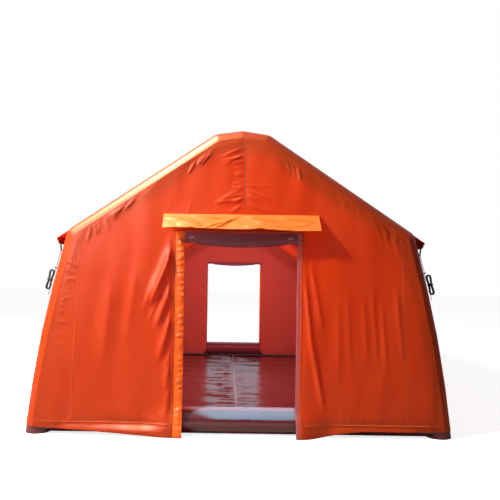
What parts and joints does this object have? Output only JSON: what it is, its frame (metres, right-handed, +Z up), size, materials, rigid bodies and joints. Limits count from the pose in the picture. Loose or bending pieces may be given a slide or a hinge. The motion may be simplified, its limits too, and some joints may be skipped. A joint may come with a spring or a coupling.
{
  "type": "inflatable tent",
  "caption": "Inflatable gable shelter on air-filled arches, with cloth walls and roof, a rolled-up door under a rain flap in each end, a floor and guy points.",
  "frame": {"origin": "middle of the tent on the ground", "axes": "+Y from the front door to the rear door, +X to the right seen from the front, +Z up"},
  "size_m": [4.1364, 5.2722, 2.9395],
  "materials": {
    "cover": "satin coated cloth",
    "awning": "satin coated cloth",
    "strip": "satin coated cloth",
    "liner": "matte coated cloth",
    "curtain": "matte coated cloth",
    "air_beam": "glossy coated cloth, inflated",
    "ground_beam": "glossy coated cloth, inflated",
    "floor": "glossy coated cloth",
    "webbing": "woven, matte",
    "cord": "braided, matte",
    "steel": "satin",
    "black_plastic": "satin",
    "toggle": "satin",
    "valve_plastic": "satin"
  },
  "bodies": {
    "tent": {"front_arch": "air_beam", "mid_arch": "air_beam", "rear_arch": "air_beam", "front_ground_beam": "ground_beam", "front_ridge_purlin": "air_beam", "front_left_ground_beam": "ground_beam", "front_left_eave_purlin": "air_beam", "front_left_door_strip": "strip", "front_left_roll_tie": "webbing", "front_left_guy_strap": "webbing", "front_right_ground_beam": "ground_beam", "front_right_eave_purlin": "air_beam", "front_right_door_strip": "strip", "front_right_roll_tie": "webbing", "front_right_guy_strap": "webbing", "front_wall": "cover", "front_door_roll": "curtain", "rear_ground_beam": "ground_beam", "rear_ridge_purlin": "air_beam", "rear_left_ground_beam": "ground_beam", "rear_left_eave_purlin": "air_beam", "rear_left_door_strip": "strip", "rear_left_roll_tie": "webbing", "rear_left_guy_strap": "webbing", "rear_right_ground_beam": "ground_beam", "rear_right_eave_purlin": "air_beam", "rear_right_door_strip": "strip", "rear_right_roll_tie": "webbing", "rear_right_guy_strap": "webbing", "rear_wall": "cover", "rear_door_roll": "curtain", "roof_cover": "cover", "left_side_wall": "cover", "right_side_wall": "cover", "rear_liner": "liner", "groundsheet": "floor", "filling_valve_body": "valve_plastic", "relief_valve_body": "valve_plastic"},
    "front_awning": {"front_awning": "awning"},
    "front_left_toggle": {"front_left_toggle": "toggle"},
    "front_right_toggle": {"front_right_toggle": "toggle"},
    "rear_awning": {"rear_awning": "awning"},
    "rear_left_toggle": {"rear_left_toggle": "toggle"},
    "rear_right_toggle": {"rear_right_toggle": "toggle"},
    "front_left_guy_set": {"front_left_guy_ring": "steel", "left_guy_line": "cord", "left_guy_hank": "cord", "left_hank_tie": "webbing"},
    "left_guy_slider": {"left_guy_slider": "black_plastic"},
    "rear_left_guy_ring": {"rear_left_guy_ring": "steel"},
    "front_right_guy_set": {"front_right_guy_ring": "steel", "right_guy_line": "cord", "right_guy_hank": "cord", "right_hank_tie": "webbing"},
    "right_guy_slider": {"right_guy_slider": "black_plastic"},
    "rear_right_guy_ring": {"rear_right_guy_ring": "steel"},
    "filling_valve_cap": {"filling_valve_cap": "valve_plastic"},
    "filling_valve_stem": {"filling_valve_stem": "valve_plastic"},
    "relief_valve_cap": {"relief_valve_cap": "valve_plastic"}
  },
  "joints": [
    {"name": "front_awning_lift", "type": "hinge", "parent": "tent", "child": "front_awning", "pos_m": [0, -2.5018, 2.11], "axis": [-1, 0, 0], "range_deg": [0, 70]},
    {"name": "front_left_toggle_turn", "type": "hinge", "parent": "tent", "child": "front_left_toggle", "pos_m": [-0.47, -2.5053, 1.888], "axis": [0, 1, 0], "range_deg": [-80, 80]},
    {"name": "front_right_toggle_turn", "type": "hinge", "parent": "tent", "child": "front_right_toggle", "pos_m": [0.47, -2.5053, 1.888], "axis": [0, 1, 0], "range_deg": [-80, 80]},
    {"name": "rear_awning_lift", "type": "hinge", "parent": "tent", "child": "rear_awning", "pos_m": [0, 2.5018, 2.11], "axis": [1, 0, 0], "range_deg": [0, 70]},
    {"name": "rear_left_toggle_turn", "type": "hinge", "parent": "tent", "child": "rear_left_toggle", "pos_m": [0.47, 2.5053, 1.888], "axis": [0, 1, 0], "range_deg": [-80, 80]},
    {"name": "rear_right_toggle_turn", "type": "hinge", "parent": "tent", "child": "rear_right_toggle", "pos_m": [-0.47, 2.5053, 1.888], "axis": [0, 1, 0], "range_deg": [-80, 80]},
    {"name": "front_left_guy_swing", "type": "hinge", "parent": "tent", "child": "front_left_guy_set", "pos_m": [-1.76204, -2.3317, 1.7515], "axis": [0, 1, 0], "range_deg": [0, 75]},
    {"name": "rear_left_guy_swing", "type": "hinge", "parent": "tent", "child": "rear_left_guy_ring", "pos_m": [-1.76204, 2.3317, 1.7515], "axis": [0, 1, 0], "range_deg": [0, 75]},
    {"name": "left_slider_slide", "type": "slide", "parent": "front_left_guy_set", "child": "left_guy_slider", "axis": [0.2501, 0, 0.9682], "range_m": [0, 0.1]},
    {"name": "front_right_guy_swing", "type": "hinge", "parent": "tent", "child": "front_right_guy_set", "pos_m": [1.76204, -2.3317, 1.7515], "axis": [0, -1, 0], "range_deg": [0, 75]},
    {"name": "rear_right_guy_swing", "type": "hinge", "parent": "tent", "child": "rear_right_guy_ring", "pos_m": [1.76204, 2.3317, 1.7515], "axis": [0, -1, 0], "range_deg": [0, 75]},
    {"name": "right_slider_slide", "type": "slide", "parent": "front_right_guy_set", "child": "right_guy_slider", "axis": [-0.2501, 0, 0.9682], "range_m": [0, 0.1]},
    {"name": "filling_valve_cap_hinge", "type": "hinge", "parent": "tent", "child": "filling_valve_cap", "pos_m": [1.7685, -1.8, 0.1586], "axis": [0, 1, 0], "range_deg": [0, 120]},
    {"name": "filling_valve_push", "type": "slide", "parent": "tent", "child": "filling_valve_stem", "axis": [1, 0, 0], "range_m": [0, 0.004], "stiffness_N_per_m": 200},
    {"name": "relief_valve_turn", "type": "hinge", "parent": "tent", "child": "relief_valve_cap", "pos_m": [1.7965, -1.45, 0.1226], "axis": [-1, 0, 0], "range_deg": [0, 90]}
  ]
}
